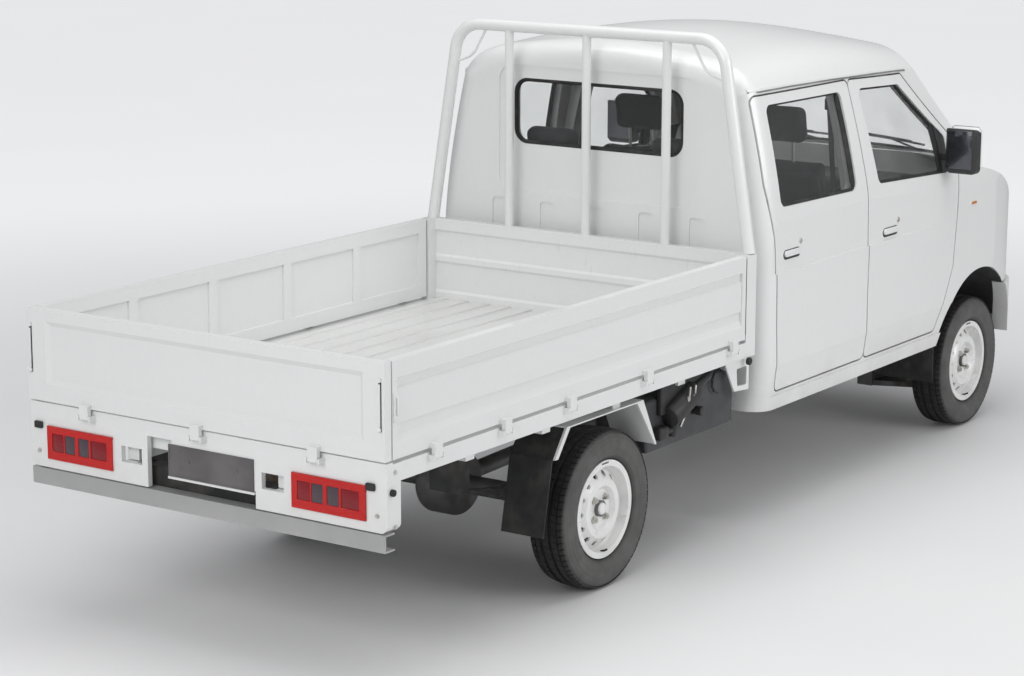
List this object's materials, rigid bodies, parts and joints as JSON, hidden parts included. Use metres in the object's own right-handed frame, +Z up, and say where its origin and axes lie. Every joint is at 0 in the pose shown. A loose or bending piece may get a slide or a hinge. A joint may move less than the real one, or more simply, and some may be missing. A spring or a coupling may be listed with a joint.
{
  "type": "double-cab pickup truck",
  "caption": "Light double-cab pickup truck with a flat drop-side bed, guard frame behind the cab, hinged doors, steered front wheels and folding bed gates.",
  "frame": {"origin": "on the ground under the middle of the truck's length and width", "axes": "+X forward to the nose, +Y to the truck's left, +Z up"},
  "size_m": [5.058, 1.864, 1.9399],
  "materials": {
    "white_paint": "white gloss paint",
    "glass": "tinted glass",
    "lamp_clear": "clear lamp lens",
    "lamp_red": "red lens",
    "black_plastic": "grained black plastic",
    "cabin_plastic": "grained grey plastic",
    "seat_cloth": "woven dark grey cloth",
    "frame_paint": "black chassis paint",
    "cast": "bare casting",
    "wheel_silver": "silver wheel paint",
    "tyre": "black rubber",
    "rubber": "black rubber",
    "exhaust_steel": "dull steel"
  },
  "bodies": {
    "chassis": {"chassis_frame": "frame_paint", "cab_body": "white_paint", "cab_glass": "glass", "headlamps": "lamp_clear", "grille": "black_plastic", "front_bumper": "white_paint", "dashboard": "cabin_plastic", "front_seats": "seat_cloth", "rear_bench": "seat_cloth", "rear_axle": "cast", "leaf_springs": "cast", "front_suspension": "frame_paint", "engine_block": "cast", "fuel_tank": "black_plastic", "exhaust": "exhaust_steel", "bed_deck": "white_paint", "headboard": "white_paint", "guard_frame": "white_paint", "lamp_panel": "white_paint", "tail_lamps": "lamp_red", "under_run_bar": "white_paint", "mudguards": "white_paint", "mud_flaps": "rubber"},
    "bonnet": {"bonnet": "white_paint"},
    "door_front_left": {"door_front_left": "white_paint", "glass_front_left": "glass", "mirror_left": "black_plastic"},
    "door_front_right": {"door_front_right": "white_paint", "glass_front_right": "glass", "mirror_right": "black_plastic"},
    "door_rear_left": {"door_rear_left": "white_paint", "glass_rear_left": "glass"},
    "door_rear_right": {"door_rear_right": "white_paint", "glass_rear_right": "glass"},
    "steering_wheel": {"steering_wheel": "black_plastic"},
    "knuckle_left": {"knuckle_left": "cast"},
    "knuckle_right": {"knuckle_right": "cast"},
    "wheel_front_left": {"wheel_front_left": "wheel_silver", "tyre_front_left": "tyre"},
    "wheel_front_right": {"wheel_front_right": "wheel_silver", "tyre_front_right": "tyre"},
    "wheel_rear_left": {"wheel_rear_left": "wheel_silver", "tyre_rear_left": "tyre"},
    "wheel_rear_right": {"wheel_rear_right": "wheel_silver", "tyre_rear_right": "tyre"},
    "side_gate_left": {"side_gate_left": "white_paint"},
    "side_gate_right": {"side_gate_right": "white_paint"},
    "tailgate": {"tailgate": "white_paint"}
  },
  "joints": [
    {"name": "steer_left", "type": "hinge", "parent": "chassis", "child": "knuckle_left", "pos_m": [1.955, 0.56, 0.296], "axis": [0, 0, 1], "range_deg": [-30, 30]},
    {"name": "steer_right", "type": "hinge", "parent": "chassis", "child": "knuckle_right", "pos_m": [1.955, -0.56, 0.296], "axis": [0, 0, 1], "range_deg": [-30, 30]},
    {"name": "steering_wheel_turn", "type": "hinge", "parent": "chassis", "child": "steering_wheel", "pos_m": [1.455, 0.345, 1.08], "axis": [-0.848, 0, 0.5299], "range_deg": [-450, 450]},
    {"name": "wheel_front_left_spin", "type": "hinge", "parent": "knuckle_left", "child": "wheel_front_left", "pos_m": [1.955, 0.635, 0.296], "axis": [0, 1, 0], "continuous": true},
    {"name": "wheel_rear_left_spin", "type": "hinge", "parent": "chassis", "child": "wheel_rear_left", "pos_m": [-1.095, 0.635, 0.296], "axis": [0, 1, 0], "continuous": true},
    {"name": "wheel_front_right_spin", "type": "hinge", "parent": "knuckle_right", "child": "wheel_front_right", "pos_m": [1.955, -0.635, 0.296], "axis": [0, 1, 0], "continuous": true},
    {"name": "wheel_rear_right_spin", "type": "hinge", "parent": "chassis", "child": "wheel_rear_right", "pos_m": [-1.095, -0.635, 0.296], "axis": [0, 1, 0], "continuous": true},
    {"name": "door_front_left_hinge", "type": "hinge", "parent": "chassis", "child": "door_front_left", "pos_m": [1.582, 0.784, 0.985], "axis": [0, 0, -1], "range_deg": [0, 66]},
    {"name": "door_rear_left_hinge", "type": "hinge", "parent": "chassis", "child": "door_rear_left", "pos_m": [0.753, 0.784, 0.86], "axis": [0, 0, -1], "range_deg": [0, 66]},
    {"name": "door_front_right_hinge", "type": "hinge", "parent": "chassis", "child": "door_front_right", "pos_m": [1.582, -0.784, 0.985], "axis": [0, 0, 1], "range_deg": [0, 66]},
    {"name": "door_rear_right_hinge", "type": "hinge", "parent": "chassis", "child": "door_rear_right", "pos_m": [0.753, -0.784, 0.86], "axis": [0, 0, 1], "range_deg": [0, 66]},
    {"name": "bonnet_lift", "type": "hinge", "parent": "chassis", "child": "bonnet", "pos_m": [2.1226, 0, 1.186], "axis": [0, -1, 0], "range_deg": [0, 55]},
    {"name": "side_gate_left_drop", "type": "hinge", "parent": "chassis", "child": "side_gate_left", "pos_m": [-1.345, 0.79, 0.752], "axis": [-1, 0, 0], "range_deg": [0, 175]},
    {"name": "side_gate_right_drop", "type": "hinge", "parent": "chassis", "child": "side_gate_right", "pos_m": [-1.345, -0.79, 0.752], "axis": [1, 0, 0], "range_deg": [0, 175]},
    {"name": "tailgate_drop", "type": "hinge", "parent": "chassis", "child": "tailgate", "pos_m": [-2.52, 0, 0.752], "axis": [0, -1, 0], "range_deg": [0, 175]}
  ],
  "couplings": [
    {"joint": "steer_right", "follows": "steer_left", "ratio": 1},
    {"joint": "steering_wheel_turn", "follows": "steer_left", "ratio": 15}
  ]
}
